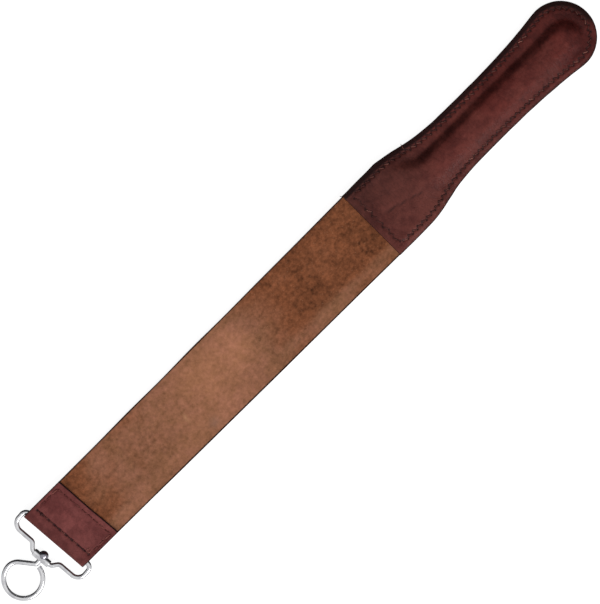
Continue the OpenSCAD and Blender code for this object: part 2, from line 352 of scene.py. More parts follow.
def suede_finish():
    """Brushed flesh side: mottled nap in several sizes, darker where pressed, with a dyed edge."""
    f = Finish("suede", Specular_IOR_Level=0.05, Sheen_Weight=0.12, Sheen_Roughness=0.55)
    f.surface.inputs["Sheen Tint"].default_value = srgb(214, 170, 138)
    broad = f.grain(0.026, 3, seed=1)
    patches = f.grain(0.0042, 3, seed=2)
    nap = f.grain(0.0024, 4, seed=3, rough=0.65)
    brushed = f.grain(0.0026, 2, seed=7, stretch=(0.35, 1.7, 1), turn=0.78)
    fibres = f.grain(0.00045, 2, seed=4, stretch=(0.45, 1.3, 1), turn=0.5)
    flecks = f.range(f.cells(0.0021, seed=5), 0.0, 0.23, 1.0, 0.0)
    shade = f.sum(
        f.carried("tone"),
        (broad, 0.34), (patches, 0.56), (nap, 0.92), (brushed, 0.12), (fibres, 0.22), -1.09,
    )
    mottle = f.range(f.sum((broad, 0.6), (patches, 0.4)), 0.36, 0.64)
    lit = f.mix(mottle, srgb(146, 99, 71), srgb(151, 101, 78))
    rich = f.range(f.carried("tone"), 0.85, 0.45)
    colour = f.scaled(f.mix(rich, lit, srgb(161, 97, 64)), shade)
    colour = f.mix(f.times(flecks, 0.27), colour, srgb(178, 132, 102))
    colour = f.mix(f.carried("stain"), colour, srgb(122, 98, 88))
    colour = f.mix(f.carried("scuff"), colour, srgb(190, 140, 104))
    dye = f.range(f.sum(f.carried("dye"), (f.grain(0.0016, 2, seed=6), 0.35)), 0.45, 0.95)
    colour = f.mix(dye, colour, srgb(38, 22, 20))
    f.bumps((broad, 0.00025), (patches, 0.00022), (nap, 0.00016), (fibres, 0.00008))
    return f.done(colour, f.sum((nap, 0.1), 0.84))


def leather_finish(name, pale, deep, dark, gloss, grain_size, seed, wrinkle=0.00006):
    """Grain-side leather: clouded dye, pores and fine creases, darker in seams and
    edges, redder where flushed, and lighter where worn. The seam darkening is partly
    painted shade in stitch holes and creases, the edge dye partly painted shade on the
    handle's +y margin, and the worn lightening partly a painted highlight on the crown."""
    f = Finish(name, Specular_IOR_Level=0.12)
    clouds = f.grain(0.017, 4, seed=seed)
    blotches = f.grain(0.0048, 3, seed=seed + 1)
    fine = f.grain(0.0018, 4, seed=seed + 2)
    pores = f.range(f.cells(grain_size, seed=seed + 3), 0.0, 0.34, 1.0, 0.0)
    folds = f.cells(grain_size * 2.6, seed + 4, (1, 0.62, 1), "DISTANCE_TO_EDGE")
    creases = f.range(folds, 0.0, 0.11, 1.0, 0.0)
    colour = f.mix(f.range(f.sum((clouds, 0.65), (blotches, 0.35)), 0.38, 0.62), deep, pale)
    shade = f.sum(
        f.carried("tone"),
        (clouds, 0.30), (blotches, 0.36), (fine, 0.44), (pores, -0.16), (creases, -0.07), -0.52,
    )
    colour = f.scaled(colour, shade)
    colour = f.mix(f.carried("flush"), colour, (1.0, 0.64, 0.66, 1), "MULTIPLY")
    patchy = f.grain(0.0023, 4, seed=seed + 5)
    # lighter where worn; on the handle's crown this is a painted highlight
    wear_and_highlight = f.range(f.sum(f.carried("wear"), (patchy, 0.6)), 0.75, 1.25)
    colour = f.mix(f.times(wear_and_highlight, 0.42), colour, shaded(pale, 1.75))
    # darker at seams: grime, with painted shade in stitch holes and creases
    grime_and_shade = f.range(f.sum(f.carried("seam"), (blotches, 0.5)), 0.45, 1.2)
    colour = f.mix(f.times(grime_and_shade, 0.88), colour, dark)
    # dyed edges, with painted shade along the handle's +y margin
    dye = f.range(f.sum(f.carried("dye"), (fine, 0.3)), 0.4, 0.95)
    colour = f.mix(dye, colour, shaded(dark, 0.75))
    f.bumps(
        (clouds, 0.0002), (blotches, 0.00014), (creases, -wrinkle), (pores, -0.00005), (fine, 0.00004)
    )
    roughness = f.sum(
        (blotches, 0.22), (fine, 0.12), (f.carried("wear"), -0.06), (dye, 0.1), gloss - 0.17
    )
    return f.done(colour, roughness)


def felt_finish():
    f = Finish("core_felt", Specular_IOR_Level=0.1, Sheen_Weight=0.3)
    fibre = f.grain(0.0007, 4, seed=61, stretch=(0.5, 1.4, 1))
    tufts = f.grain(0.004, 3, seed=62)
    wool = f.mix(tufts, srgb(150, 136, 112), srgb(192, 178, 150))
    colour = f.scaled(wool, f.sum((fibre, 0.6), 0.7))
    colour = f.mix(f.range(f.carried("dye"), 0.3, 0.8), colour, srgb(34, 19, 18))
    f.bumps((tufts, 0.0004), (fibre, 0.0002))
    return f.done(colour, f.sum((fibre, 0.1), 0.86))


def thread_finish(name, deep, pale, seed):
    """Waxed cord: dark wax with paler stitches here and there, partly worn thread and partly painted
    glints.
    """
    f = Finish(name, Specular_IOR_Level=0.14)
    fibre = f.grain(0.00022, 3, seed=seed)
    wax = f.grain(0.0017, 3, seed=seed + 1)
    # paler stitches: partly worn thread, partly painted glints
    wear_and_highlight = f.range(f.sum(f.carried("tone"), (wax, 0.5), (fibre, 0.3)), 0.8, 1.35)
    colour = f.scaled(f.mix(wear_and_highlight, deep, pale), f.sum((fibre, 0.7), (wax, 0.4), 0.45))
    f.bumps((fibre, 0.00006), (wax, 0.0001))
    return f.done(colour, f.sum((wax, 0.3), (fibre, 0.15), 0.28))


def nickel_finish(name, bright, dull, roughness, seed):
    """Nickel plate on drawn wire: faint draw lines, small pits and cloudy handling marks."""
    f = Finish(name, Metallic=1.0)
    clouds = f.grain(0.0042, 4, seed=seed)
    scratches = f.grain(0.00032, 2, seed=seed + 1, stretch=(0.25, 1.6, 1.6), turn=0.7)
    pits = f.range(f.cells(0.0016, seed=seed + 2), 0.0, 0.1, 1.0, 0.0)
    colour = f.mix(f.range(clouds, 0.4, 0.68), bright, dull)
    colour = f.mix(f.times(pits, 0.35), colour, srgb(110, 104, 98))
    f.bumps((clouds, 0.00008), (scratches, 0.000012), (pits, -0.00003))
    return f.done(colour, f.sum((clouds, 0.16), (scratches, 0.1), (pits, 0.12), roughness - 0.1))


def floor_finish():
    """A white acrylic table, lit a little from below as for product photographs."""
    f = Finish("floor", Specular_IOR_Level=0.0, Emission_Strength=0.85)
    f.surface.inputs["Emission Color"].default_value = (1, 1, 1, 1)
    fine = f.grain(0.09, 2, seed=91)
    f.bumps((fine, 0.0001))
    return f.done(f.mix(fine, (0.36, 0.36, 0.36, 1), (0.38, 0.38, 0.38, 1)), f.sum((fine, 0.05), 0.9))


SUEDE = suede_finish()
STRAP_LEATHER = leather_finish(
    "strap_leather", srgb(150, 84, 58), srgb(122, 62, 42), srgb(36, 20, 17), 0.36, 0.0008, 21, 0.00003
)
TAB_LEATHER = leather_finish(
    "tab_leather", srgb(114, 60, 57), srgb(99, 47, 45), srgb(44, 22, 24), 0.62, 0.0010, 31
)
HANDLE_LEATHER = leather_finish(
    "handle_leather", srgb(98, 50, 43), srgb(83, 38, 33), srgb(34, 15, 14), 0.42, 0.0010, 41
)
FELT = felt_finish()
THREAD = thread_finish("waxed_thread", srgb(66, 33, 30), srgb(132, 84, 74), 71)
TUNNEL_THREAD = thread_finish("tunnel_thread", srgb(58, 28, 28), srgb(116, 66, 60), 73)
TAB_THREAD = thread_finish("tab_thread", srgb(88, 42, 39), srgb(128, 76, 68), 75)
NICKEL = nickel_finish("nickel_wire", srgb(232, 232, 233), srgb(206, 206, 209), 0.15, 81)
# a darker copy of the nickel: painted shade for the ball sitting in the eye's recess
SHADED_BALL_NICKEL = nickel_finish("shaded_nickel_ball", srgb(158, 156, 164), srgb(112, 110, 120), 0.18, 85)

# ---- straps


def strap_skin(name, node, material, corner, lift_share, tones):
    """A strap with rounded dyed edges that lies a little uneven where it is free."""
    across, corner_steps, pitch = 26, 5, 2 * MM
    low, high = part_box(node)
    stations = np.arange(low.x, high.x + pitch / 2, pitch)
    stations[-1] = high.x
    probe = np.clip(stations, low.x + 6 * MM, high.x - 0.2 * MM)
    tree = TREES[node]
    under, over = (averaged([face_z(tree, x, 0, above) for x in probe], 2) for above in (False, True))
    level = (under + over) / 2
    half = averaged([edge_y(tree, x, [z]) for x, z in zip(probe, level)], 2)
    inner_u = (low.x - TUNNEL.x + TAB_HALF * math.tan(SKEW)) * math.cos(SKEW)

    quarter = np.linspace(0, math.pi / 2, corner_steps + 1)
    flat = np.sin(np.linspace(-math.pi / 2, math.pi / 2, across + 1))
    ones = np.ones_like(quarter)
    sin, cos = np.sin(quarter), np.cos(quarter)
    share = 2 * corner / STRAP_T
    # A ring round the strap: top, four quarter rounds and underside
    side = [flat, ones[1:], ones, flat[::-1][1:], -ones[1:], -ones[:-1]]
    out = [0 * flat, sin[1:], cos, 0 * flat[1:], -sin[1:], -cos[:-1]]
    rise = [
        1 + 0 * flat, 1 - (1 - cos[1:]) * share, -1 + (1 - sin) * share,
        -1 + 0 * flat[1:], -1 + (1 - cos[1:]) * share, 1 - (1 - sin[:-1]) * share,
    ]
    side, out, rise = (np.concatenate(part) for part in (side, out, rise))
    ring = len(side)

    free = smooth((stations - TAB_EDGE_X) / 0.03) * smooth((MOUTH_X - stations) / 0.03)
    left, right = (noise(stations[:, None], y, 0.03, seed) for y, seed in ((3.1, 11), (7.7, 12)))
    reach = half[:, None] - corner + 0.00018 * np.where(side > 0, left, right) * free[:, None]
    y = side[None, :] * reach + out[None, :] * corner
    start = tab_x(inner_u, y)
    along = (stations - stations[0]) / (stations[-1] - stations[0])
    ends_square = smooth(along * 12)[:, None]
    slanted = start + along[:, None] * (stations[-1] - start)
    x = stations[:, None] * ends_square + slanted * (1 - ends_square)
    lift = lift_share * free[:, None]
    bow = 0.0005 * lift * (0.55 + 0.45 * noise(x, y, 0.06, 13))
    cup = 0.00035 * lift * (y / TAB_HALF) ** 2 * (1 + 0.6 * noise(x, 0 * y, 0.05, 14))
    z = level[:, None] + rise[None, :] * STRAP_T / 2 + bow + cup
    points = np.stack([x, y, z], -1).reshape(-1, 3)
    faces = tube_faces(len(stations), ring)
    from_edge = (half[:, None] - abs(y)) / MM
    dye = np.clip(1.35 - from_edge / 1.05, 0, 1)
    xm, ym = x / MM, y / MM
    carried = tones(xm, ym)
    carried["dye"] = np.maximum(dye, np.abs(out)[None, :] > 0.5)
    piece = new_piece(
        name, points, faces, material, replaced=(node,),
        **{key: value.ravel() for key, value in carried.items()},
    )
    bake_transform(piece)
    return piece


def suede_tones(x, y):
    """Where the nap is lighter or darker, with painted light along the -y side, and the marks on it.
    Places are in mm.
    """
    toward_handle = smooth((x - 10) / 45)
    lit_side = smooth((-12 - y) / 9)
    tone = (
        0.80
        + 0.38 * hill(x + 5 - 1.3 * np.minimum(y, 0), 38) * hill(y - 3, 26)
        - 0.31 * toward_handle
        - 0.05 * smooth((x - 80) / 30)
        - 0.07 * smooth((abs(y) - 17) / 6)
        - 0.07 * hill(x + 78, 22)
        # painted light: the nap lighter along the -y side, more so toward the handle
        + lit_side * (0.14 + 0.24 * smooth((x - 25) / 40))
        - 0.24 * smooth((-100 - x) / 30) * (1 - lit_side)
        + 0.07 * noise(x, y, 17, 15)
        + 0.06 * noise(x, y, 7, 16)
    )
    scuff = 0.55 * hill(to_line(x, y, (-44.3, -1.5), (-42.9, -16)), 0.5)
    stain = 0.4 * hill(np.hypot(x + 33, (y + 19) * 1.2), 3.6)
    return {"tone": tone, "scuff": scuff, "stain": stain}


def strap_leather_tones(x, y):
    tone = 0.86 + 0.06 * noise(x, y, 40, 17) + 0.05 * noise(x, y, 11, 18)
    wear = 0.35 + 0.4 * hill(x - 5, 90) * hill(y, 20) + 0.15 * noise(x, y, 23, 19)
    return {"tone": tone, "wear": wear, "seam": 0 * x}


suede_piece = strap_skin("suede_strap_skin", "suede_strap", SUEDE, 0.7 * MM, 1.0, suede_tones)
leather_piece = strap_skin(
    "leather_strap_skin", "leather_strap", STRAP_LEATHER, 0.6 * MM, 0.35, strap_leather_tones
)

# ---- stitches read off the CAD


def islands(node):
    """The separate solids of a CAD node, each as an array of its corners."""
    mesh = frame["nodes"][node].data
    corners = np.array([v.co for v in mesh.vertices], float)
    places, index = np.unique(np.round(corners, 6), axis=0, return_inverse=True)
    a, b = index.ravel()[np.array([tuple(edge.vertices) for edge in mesh.edges])].T
    label = np.arange(len(places))
    while (label[a] != label[b]).any():
        lowest = np.minimum(label[a], label[b])
        np.minimum.at(label, a, lowest)
        np.minimum.at(label, b, lowest)
    solids = [places[label == k] for k in np.unique(label)]
    return sorted(solids, key=lambda solid: tuple(solid.mean(0).round(6)))


def stitches_of(node):
    """The two ends of each CAD stitch in plan, as an array of shape (count, 2, 2)."""
    ends = []
    for corners in islands(node):
        flat = corners[:, :2] - corners[:, :2].mean(0)
        heading = np.linalg.eigh(flat.T @ flat)[1][:, -1]
        reach = abs(flat @ heading).max()
        middle = corners[:, :2].mean(0)
        ends.append([middle - heading * reach, middle + heading * reach])
    return np.array(ends)


STITCHES = {node: stitches_of(node) for node in frame["nodes"] if node.endswith("_thread")}


def turned(vector, angle):
    """A plan direction turned anticlockwise."""
    c, s = math.cos(angle), math.sin(angle)
    return np.array([vector[0] * c - vector[1] * s, vector[0] * s + vector[1] * c])


def leaned(ends, slant, heading_of):
    """Stitches turned by slant from their seam's direction, each about its middle."""
    made = []
    for a, b in ends:
        middle, along = (a + b) / 2, (b - a) / 2
        if along @ np.array(heading_of(middle), float) < 0:
            along = -along
        along = turned(along, slant)
        made.append([middle - along, middle + along])
    return np.array(made)


def to_stitches(x, y, ends):
    """Distance from points to the nearest stitch, and to the nearest of its two holes."""
    line = np.full(np.shape(x), 1.0)
    hole = np.full(np.shape(x), 1.0)
    for a, b in ends:
        near = np.hypot(x - (a[0] + b[0]) / 2, y - (a[1] + b[1]) / 2) < 6 * MM
        if near.any():
            line[near] = np.minimum(line[near], to_line(x[near], y[near], a, b))
            for end in (a, b):
                hole[near] = np.minimum(hole[near], np.hypot(x[near] - end[0], y[near] - end[1]))
    return line, hole


# ---- end tab


def tab_skin():
    """The folded tab: one strap of leather round the bail's wire, drawn in along its seams."""
    inside = FOLD_R - TAB_T
    from_side = np.array([0, 0.1, 0.25, 0.45, 0.8, 1.3]) * MM
    from_cut = np.concatenate([from_side[:-1], np.arange(1.3 * MM, CUT_U, 0.7 * MM)])
    leaf = np.append(CUT_U - from_cut, 0)
    fold = np.linspace(0, math.pi, 19)[1:-1]
    u_out = np.concatenate([leaf, -FOLD_R * np.sin(fold), leaf[::-1]])
    u_in = np.concatenate([leaf, -inside * np.sin(fold), leaf[::-1]])
    z_out = np.concatenate([FOLD_R + 0 * leaf, FOLD_R * np.cos(fold), -FOLD_R + 0 * leaf])
    z_in = np.concatenate([inside + 0 * leaf, inside * np.cos(fold), -inside + 0 * leaf])
    middle = np.linspace(-TAB_HALF + 2 * MM, TAB_HALF - 2 * MM, 74)
    y = np.concatenate([-TAB_HALF + from_side, middle, TAB_HALF - from_side[::-1]])
    u, yy = np.meshgrid(u_out, y, indexing="ij")
    z = np.meshgrid(z_out, y, indexing="ij")[0]
    x = tab_x(u, yy)
    top = z > 0
    face = np.sign(z) * (np.abs(z) > FOLD_R * 0.98)
    row_x, row_y = STITCHES["tunnel_seam_front_thread"].reshape(-1, 2).T
    tunnel_u = ((row_x - TUNNEL.x + row_y * math.tan(SKEW)) * math.cos(SKEW)).mean()
    channel = hill(u - tunnel_u, 1.1 * MM) * (np.abs(yy) < TAB_HALF - 2 * MM)
    sunk, seam = 0.28 * MM * channel, 0.34 * channel
    for node, darkness in (("tunnel_seam", 1.0), ("tab_seam", 0.25)):
        line, hole = np.full(x.shape, 1.0), np.full(x.shape, 1.0)
        for side, word in ((1, "front"), (-1, "back")):
            part = np.where(top if side > 0 else ~top)
            line[part], hole[part] = to_stitches(x[part], yy[part], STITCHES[f"{node}_{word}_thread"])
        sunk = sunk + 0.36 * MM * hill(line, 0.75 * MM) + 0.35 * MM * hill(hole, 0.5 * MM)
        # darker along the stitches: grime, with painted shade in the holes
        seam = np.maximum.reduce([
            seam, 0.5 * darkness * hill(line, 0.9 * MM), 1.4 * darkness * hill(hole, 0.9 * MM)
        ])
    sunk = np.minimum(sunk, 0.8 * MM)
    puffed = 0.12 * MM * noise(x, yy, 5 * MM, 23) + 0.1 * MM * hill(u - 1.5 * MM, 2 * MM)
    inset = np.minimum((CUT_U - u), TAB_HALF - np.abs(yy))
    rounded = edge_round(inset, 0.7 * MM)
    outward = np.where(np.abs(face) > 0, face * (puffed - sunk - rounded), 0)
    z = np.maximum(z + outward, 0.02 * MM - FOLD_R)
    waver = 0.2 * MM * noise(yy, 0 * yy, 9 * MM, 24) * smooth((u - CUT_U + 3 * MM) / (3 * MM))
    fold_round = 1 - rounded / FOLD_R * (np.abs(face) == 0)
    wall = np.where(u < 0, u * fold_round, u)
    outer = np.stack([tab_x(wall, yy) + waver, yy, TUNNEL.z + np.where(u < 0, z * fold_round, z)], -1)
    ui = np.meshgrid(u_in, y, indexing="ij")[0]
    zi = np.meshgrid(z_in, y, indexing="ij")[0]
    inner = np.stack([tab_x(ui, yy) + waver, yy, TUNNEL.z + zi], -1)
    faces = flipped(grid_faces(len(u_out), len(y)))
    points, faces = shell(outer.reshape(-1, 3), inner.reshape(-1, 3), faces)
    xm, ym, um = x / MM, yy / MM, u / MM
    tone = 0.88 + 0.05 * noise(xm, ym, 12, 25)
    tone += 0.04 * smooth((um - 20) / 8) - 0.14 * smooth((3.2 - um) / 5)
    wear = 0.3 + 0.35 * hill(um - 14, 8) * hill(ym + 2, 16) + 0.2 * noise(xm, ym, 6, 26)
    dye = np.clip(1.3 - inset / (0.75 * MM), 0, 1)
    # dark band at the cut edge: dyed edge, widened with painted contact shadow
    dye = np.maximum(dye, np.clip(1.2 - (CUT_U - u) / (1.1 * MM), 0, 1))
    piece = new_piece(
        "end_tab_skin", points, faces, TAB_LEATHER, body="strap",
        slot="tab_leather", replaced=("end_tab",),
        **both_sides(tone=tone, wear=wear, seam=seam),
        dye=np.concatenate([dye.ravel(), 0.6 + 0 * dye.ravel()]),
    )
    return piece


tab_piece = tab_skin()

# ---- handle covers

CELL = 1.6 * MM
SIM_SCALE = 20  # cloth is simulated larger than life, where Blender's collisions are reliable
grid_x = np.arange(MOUTH_X - 3 * CELL, TIP_X + 4 * CELL, CELL)
grid_y = np.arange(-19, 20) * CELL

outline_x = np.arange(MOUTH_X + 0.1 * MM, TIP_X - 0.1 * MM, 0.5 * MM)
outline_z = MID_Z + np.array([0.4, 1.2, 2.2, 3.4]) * MM
outline_half = np.array([edge_y(TREES["handle_front_cover"], x, outline_z) for x in outline_x])
BULB_R = outline_half[outline_x > (MOUTH_X + TIP_X) / 2].max()
BULB_X = TIP_X - BULB_R
straight = outline_x < BULB_X
neck_x = outline_x[straight]
neck_half = averaged(outline_half[straight], 5)
MOUTH_HALF = outline_half.max()


def half_width(x):
    return np.interp(x, neck_x, neck_half)


def inner_height(x, y):
    """Height of the CAD cover's inner face above the handle's middle plane."""
    x = min(max(x, MOUTH_X + 0.3 * MM), TIP_X - 0.4 * MM)
    if x > BULB_X:
        limit = math.sqrt(max(BULB_R**2 - (x - BULB_X) ** 2, 0))
    else:
        limit = float(half_width(x))
    limit = max(limit - 0.4 * MM, 0)
    z = face_z(TREES["handle_front_cover"], x, min(max(y, -limit), limit), above=False)
    return z - MID_Z


def from_outline(x, y):
    """Distance in from the handle's outline."""
    side = half_width(x) - np.abs(y)
    bulb = BULB_R - np.hypot(x - BULB_X, y)
    return np.where(x > BULB_X, bulb, side)


def blurred(field, steps):
    """Repeated small averages over a grid."""
    for _ in range(steps):
        p = np.pad(field, 1, mode="edge")
        field = (p[:-2, 1:-1] + p[2:, 1:-1] + p[1:-1, :-2] + p[1:-1, 2:] + 4 * field) / 8
    return field


behind_tongue = np.arange(TONGUE_X, BULB_X, 0.5 * MM)
edge_height = np.array([inner_height(x, float(half_width(x))) for x in behind_tongue])
WEDGE_X = behind_tongue[np.argmax(edge_height < 0.05 * MM)]
core_low, core_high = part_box("handle_core")
CORE_H = core_high.z - MID_Z
ridge_x = (MOUTH_X + TIP_X) / 2
ridge_cut = [
    TREES["handle_core"].ray_cast(Vector((ridge_x, way * FAR, MID_Z)), Vector((0, -way, 0)))[0].y
    for way in (1, -1)
]
RIDGE_Y, RIDGE_HALF = sum(ridge_cut) / 2, (ridge_cut[0] - ridge_cut[1]) / 2


def padding(x, y):
    """Height of what the covers lie on, above the middle plane: the straps, then a
    ridge with a rounded top."""
    flat = inner_height(x, math.copysign(1, y) * float(half_width(min(x, BULB_X))))
    run_out = float(smooth((x - TONGUE_X - 1 * MM) / (30 * MM)))
    spread = (1 - run_out) * 13 * MM
    top = flat + (CORE_H - flat) * float(smooth((x - TONGUE_X + 6 * MM) / (34 * MM)))
    end_x = core_high.x - RIDGE_HALF - 1 * MM
    past = max(x - end_x, 0) / (RIDGE_HALF + 1 * MM)
    across = (y - RIDGE_Y * run_out) / (RIDGE_HALF + 0.6 * MM + spread)
    away = math.hypot(across, past)
    shape = max(1 - away**2.6, 0) ** 0.72
    return flat + max(top - flat, 0) * shape


PADDING = np.array([[padding(x, y) for y in grid_y] for x in grid_x])
GX, GY = np.meshgrid(grid_x, grid_y, indexing="ij")


def draped(seed):
    """Heights of leather pulled down over the padding, by cloth simulation, on the grid."""
    base = np.maximum(PADDING, blurred(PADDING, 2))
    slack = np.maximum(base, blurred(base, 10)) * 1.04
    slack += 0.25 * MM * (noise(GX, GY, 9 * MM, seed) + 1) * smooth((slack - 0.4 * MM) / MM)
    pinned = (from_outline(GX, GY) < 5.2 * MM) | (GX < MOUTH_X + 6.4 * MM)
    start = np.where(pinned, PADDING, slack)

    def sheet(name, heights):
        points = np.stack([GX - BULB_X, GY, heights], -1).reshape(-1, 3) * SIM_SCALE
        mesh = bpy.data.meshes.new(name)
        mesh.from_pydata([tuple(p) for p in points], [], grid_faces(*GX.shape))
        made = bpy.data.objects.new(name, mesh)
        scene.collection.objects.link(made)
        return made

    form = sheet("form", blurred(PADDING, 1))
    form.modifiers.new("Collision", "COLLISION")
    form.collision.thickness_outer = 0.003
    form.collision.cloth_friction = 12
    form.collision.damping = 0.6
    leather = sheet("leather", start + np.where(pinned, 0, 0.25 * MM))
    group = leather.vertex_groups.new(name="pins")
    group.add([int(i) for i in np.flatnonzero(pinned.ravel())], 1.0, "REPLACE")
    cloth = leather.modifiers.new("Cloth", "CLOTH")
    stiff_leather = {
        "quality": 7, "mass": 0.5, "tension_stiffness": 25, "compression_stiffness": 25,
        "shear_stiffness": 12, "bending_stiffness": 6, "air_damping": 2,
        "vertex_group_mass": "pins", "pin_stiffness": 1,
    }
    for key, value in stiff_leather.items():
        setattr(cloth.settings, key, value)
    cloth.collision_settings.distance_min = 0.003
    cloth.collision_settings.collision_quality = 3
    cloth.collision_settings.use_self_collision = False
    last = 32
    cloth.point_cache.frame_start, cloth.point_cache.frame_end = 1, last
    for number in range(1, last + 1):
        scene.frame_set(number)
    settled = leather.evaluated_get(bpy.context.evaluated_depsgraph_get()).to_mesh()
    moved = np.array([v.co for v in settled.vertices], float) / SIM_SCALE
    heights = moved[:, 2].reshape(GX.shape)
    for made in (leather, form):
        bpy.data.objects.remove(made)
    scene.frame_set(1)
    capped = np.clip(heights, PADDING, base + 1.5 * MM)
    return np.where(pinned, PADDING, capped)


def spline(field, x, y):
    """Value and slopes of a grid at places between its points, by a smooth cubic spline."""
    u, v = (x - grid_x[0]) / CELL, (y - grid_y[0]) / CELL
    iu = np.clip(np.floor(u).astype(int), 1, field.shape[0] - 3)
    iv = np.clip(np.floor(v).astype(int), 1, field.shape[1] - 3)

    def weights(t):
        s = 1 - t
        return (
            [s**3 / 6, (3 * t**3 - 6 * t**2 + 4) / 6, (3 * s**3 - 6 * s**2 + 4) / 6, t**3 / 6],
            [-(s**2) / 2, (3 * t**2 - 4 * t) / 2, -(3 * s**2 - 4 * s) / 2, t**2 / 2],
        )

    (wu, du), (wv, dv) = weights(u - iu), weights(v - iv)
    value, slope_x, slope_y = 0.0, 0.0, 0.0
    for a in range(4):
        for b in range(4):
            corner = field[iu + a - 1, iv + b - 1]
            value = value + wu[a] * wv[b] * corner
            slope_x = slope_x + du[a] * wv[b] * corner / CELL
            slope_y = slope_y + wu[a] * dv[b] * corner / CELL
    return value, slope_x, slope_y


def along_outline(place):
    """Heading of the edge seam, clockwise seen from the front."""
    axis = np.array([min(max(place[0], MOUTH_X), BULB_X), 0])
    out = place - axis
    out /= np.linalg.norm(out)
    return out[1], -out[0]


LEAN = 0.5  # radians that hand-set stitches slant from their seam
for word, side in (("front", 1), ("back", -1)):
    edge, mouth = f"edge_seam_{word}_thread", f"mouth_seam_{word}_thread"
    STITCHES[edge] = leaned(STITCHES[edge], -LEAN * side, along_outline)
    STITCHES[mouth] = leaned(STITCHES[mouth], LEAN * side, lambda place: (0, 1))

# Columns of the cover's mesh: fixed distances in from the edge, then an even share of the rest
INSETS = MM * np.array(
    [0, 0.1, 0.25, 0.5, 0.9, 1.5, 2.2, 2.9, 3.6, 4.2, 4.6, 4.9, 5.2, 5.6, 6.1, 6.8, 7.8, 9.0]
)
INNER_COLUMNS = 9
ROW = 0.8 * MM


def cover_plan():
    """Plan of a cover: points, faces, and how far in from the edge each point is."""
    shares = np.linspace(1, 0, INNER_COLUMNS + 1)[1:]
    neck = BULB_X - MOUTH_X
    rows = MOUTH_X + np.concatenate([INSETS[:5], np.arange(INSETS[5], neck - ROW / 2, ROW), [neck]])
    columns = len(INSETS) + INNER_COLUMNS - 1

    def radii(half):
        """Distances out from the middle line, from the middle to the edge."""
        return np.concatenate([(half - INSETS[-1]) * shares[::-1], half - INSETS[::-1]])

    points = []
    for x in rows:
        out = radii(float(half_width(x)) if x < BULB_X else BULB_R)
        points += [(x, y) for y in np.concatenate([-out[:0:-1], out])]
    width = 2 * columns + 1
    faces = grid_faces(len(rows), width)
    last = (len(rows) - 1) * width + columns
    angles = np.linspace(math.pi / 2, -math.pi / 2, 95)
    first_fan = len(points)
    out = radii(BULB_R)
    for angle in angles[1:-1]:
        points += [(BULB_X + r * math.cos(angle), r * math.sin(angle)) for r in out[1:]]

    def place(k, j):
        if j == 0:
            return last
        if k == 0:
            return last + j
        if k == len(angles) - 1:
            return last - j
        return first_fan + (k - 1) * columns + j - 1

    for k in range(len(angles) - 1):
        faces.append((last, place(k + 1, 1), place(k, 1)))
        for j in range(1, columns):
            faces.append((place(k, j), place(k + 1, j), place(k + 1, j + 1), place(k, j + 1)))
    return np.array(points), faces


PLAN, PLAN_FACES = cover_plan()


